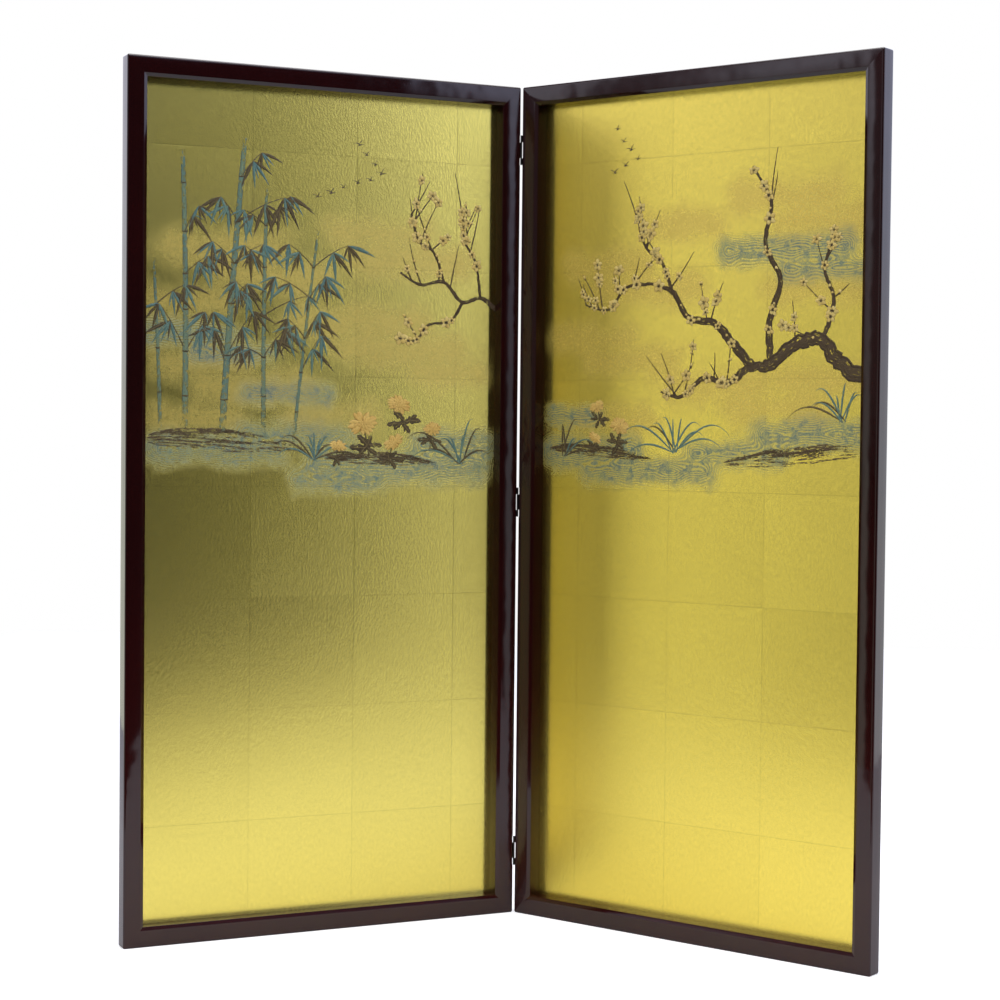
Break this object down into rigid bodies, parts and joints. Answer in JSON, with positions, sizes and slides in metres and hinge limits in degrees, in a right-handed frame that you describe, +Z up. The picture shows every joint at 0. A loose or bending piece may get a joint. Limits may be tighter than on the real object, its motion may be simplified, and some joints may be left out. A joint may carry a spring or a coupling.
{
  "type": "folding screen",
  "caption": "Low folding screen that stands in a V: mitred lacquered frames round gilt-papered boards, joined by butt hinges whose barrels stand at the front of the fold.",
  "frame": {"origin": "middle of the foot of the bounding box, on the floor plane, with the screen standing folded to its pictured angle", "axes": "+Z up, +X to the right as seen from the gilt side, +Y from the gilt side to the back, so the V opens towards -Y"},
  "size_m": [0.7724, 0.2486, 0.909],
  "materials": {
    "lacquered_wood": "high-gloss dark red-brown lacquer",
    "gilt_paper": "satin gold leaf on paper",
    "board_core": "raw board",
    "lining_paper": "matt dark lining paper",
    "brad_steel": "bright wire",
    "tongue_wood": "raw hardwood",
    "blackened_metal": "blackened steel, half gloss"
  },
  "bodies": {
    "left_panel": {"left_bottom_rail": "lacquered_wood", "left_top_rail": "lacquered_wood", "left_outer_stile": "lacquered_wood", "left_fold_stile": "lacquered_wood", "left_gilt_paper": "gilt_paper", "left_board": "board_core", "left_rear_lining": "lining_paper", "left_board_brads": "brad_steel", "left_mitre_tongues": "tongue_wood", "left_hinge_screws": "blackened_metal", "bottom_hinge_left_leaf": "blackened_metal", "middle_hinge_left_leaf": "blackened_metal", "top_hinge_left_leaf": "blackened_metal", "bottom_hinge_pin": "blackened_metal", "middle_hinge_pin": "blackened_metal", "top_hinge_pin": "blackened_metal"},
    "right_panel": {"right_bottom_rail": "lacquered_wood", "right_top_rail": "lacquered_wood", "right_outer_stile": "lacquered_wood", "right_fold_stile": "lacquered_wood", "right_gilt_paper": "gilt_paper", "right_board": "board_core", "right_rear_lining": "lining_paper", "right_board_brads": "brad_steel", "right_mitre_tongues": "tongue_wood", "right_hinge_screws": "blackened_metal", "bottom_hinge_right_leaf": "blackened_metal", "middle_hinge_right_leaf": "blackened_metal", "top_hinge_right_leaf": "blackened_metal"}
  },
  "joints": [
    {"name": "fold", "type": "hinge", "parent": "left_panel", "child": "right_panel", "pos_m": [0, 0.10806, 0.4545], "axis": [0, 0, 1], "range_deg": [-116.4, 63.6]}
  ]
}
